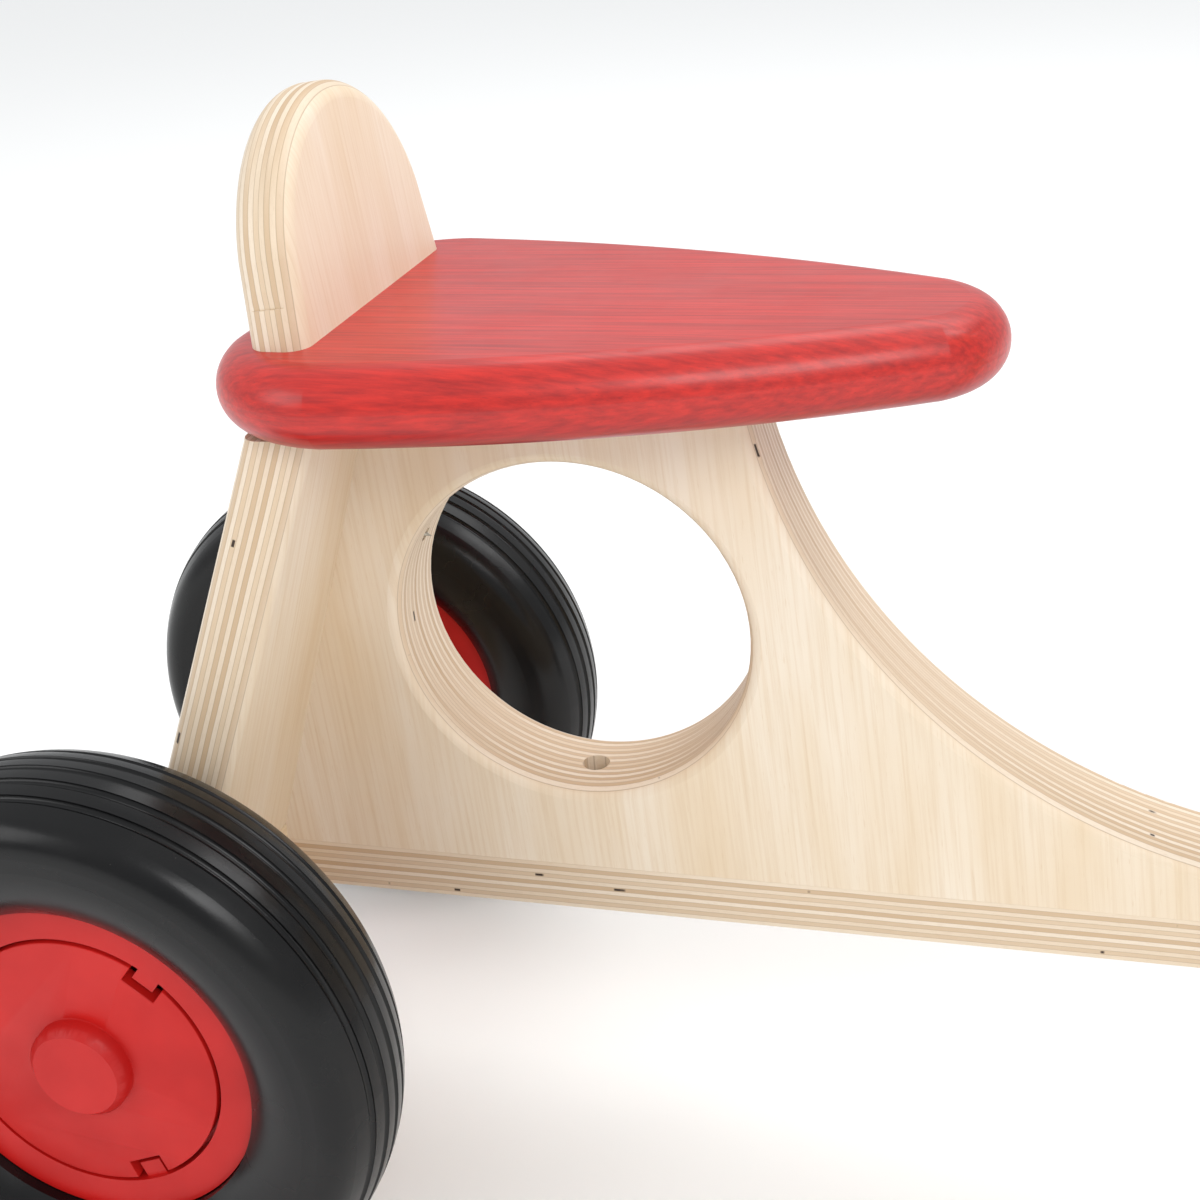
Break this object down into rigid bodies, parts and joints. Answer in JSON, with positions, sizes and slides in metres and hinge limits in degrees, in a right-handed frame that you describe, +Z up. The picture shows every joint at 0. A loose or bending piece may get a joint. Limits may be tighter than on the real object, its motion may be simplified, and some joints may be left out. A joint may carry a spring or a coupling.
{
  "type": "walking tricycle",
  "caption": "Toddler's wooden walking tricycle with an upright board, red teardrop seat, low backrest, rubber-tyred wheels and handlebar steering.",
  "frame": {"origin": "on the ground, under the middle of the overall length, in the board's middle plane", "axes": "+X forward, +Y to the rider's left, +Z up"},
  "size_m": [0.62, 0.276, 0.3971],
  "materials": {
    "birch_ply": "satin clear lacquer",
    "birch_strip": "satin clear lacquer",
    "birch_panel": "satin clear lacquer",
    "birch_solid": "satin clear lacquer",
    "birch_fork": "satin clear lacquer",
    "bar_wood": "satin clear lacquer",
    "dowel_wood": "raw",
    "red_wood": "red stain under satin lacquer",
    "tyre_rubber": "satin moulded",
    "rim_plastic": "moulded",
    "cap_plastic": "moulded",
    "white_nylon": "moulded",
    "black_nylon": "moulded",
    "grip_rubber": "matt moulded",
    "axle_steel": "bright zinc",
    "screw_steel": "zinc plated",
    "nut_steel": "zinc plated"
  },
  "bodies": {
    "frame": {"main_board": "birch_ply", "sole_strip": "birch_strip", "rear_panel": "birch_panel", "seat": "red_wood", "backrest": "birch_panel", "axle_block": "birch_solid", "rear_axle": "axle_steel", "rear_spacers": "nut_steel", "rear_retainers": "nut_steel", "seat_dowels": "dowel_wood", "backrest_screws": "screw_steel", "panel_screws": "screw_steel", "sole_screws": "screw_steel", "tie_screw": "screw_steel", "head_block": "birch_solid", "head_dowels": "dowel_wood", "head_bush_lower": "black_nylon", "head_bush_upper": "black_nylon", "stop_pin": "axle_steel"},
    "steering": {"fork_crown": "birch_fork", "fork_blade_left": "birch_fork", "fork_blade_right": "birch_fork", "crown_screws": "screw_steel", "steering_column": "axle_steel", "thrust_washer": "nut_steel", "column_collar": "nut_steel", "collar_screw": "screw_steel", "stem_block": "birch_solid", "stem_screw": "screw_steel", "handlebar": "bar_wood", "grip_left": "grip_rubber", "grip_right": "grip_rubber", "front_axle": "axle_steel", "front_spacers": "nut_steel", "front_nuts": "nut_steel"},
    "rear_wheel_left": {"rear_left_tyre": "tyre_rubber", "rear_left_rim": "rim_plastic", "rear_left_bush": "white_nylon", "rear_left_cap": "cap_plastic"},
    "rear_wheel_right": {"rear_right_tyre": "tyre_rubber", "rear_right_rim": "rim_plastic", "rear_right_bush": "white_nylon", "rear_right_cap": "cap_plastic"},
    "front_wheel": {"front_tyre": "tyre_rubber", "front_rim": "rim_plastic", "front_bush": "white_nylon", "front_cap": "cap_plastic"}
  },
  "joints": [
    {"name": "rear_left_spin", "type": "hinge", "parent": "frame", "child": "rear_wheel_left", "pos_m": [-0.2275, 0.098, 0.0825], "axis": [0, 1, 0], "continuous": true},
    {"name": "rear_right_spin", "type": "hinge", "parent": "frame", "child": "rear_wheel_right", "pos_m": [-0.2275, -0.098, 0.0825], "axis": [0, 1, 0], "continuous": true},
    {"name": "steer", "type": "hinge", "parent": "frame", "child": "steering", "pos_m": [0.2275, 0, 0.0825], "axis": [-0.309, 0, 0.9511], "range_deg": [-40, 40]},
    {"name": "front_spin", "type": "hinge", "parent": "steering", "child": "front_wheel", "pos_m": [0.2275, 0, 0.0825], "axis": [0, 1, 0], "continuous": true}
  ]
}
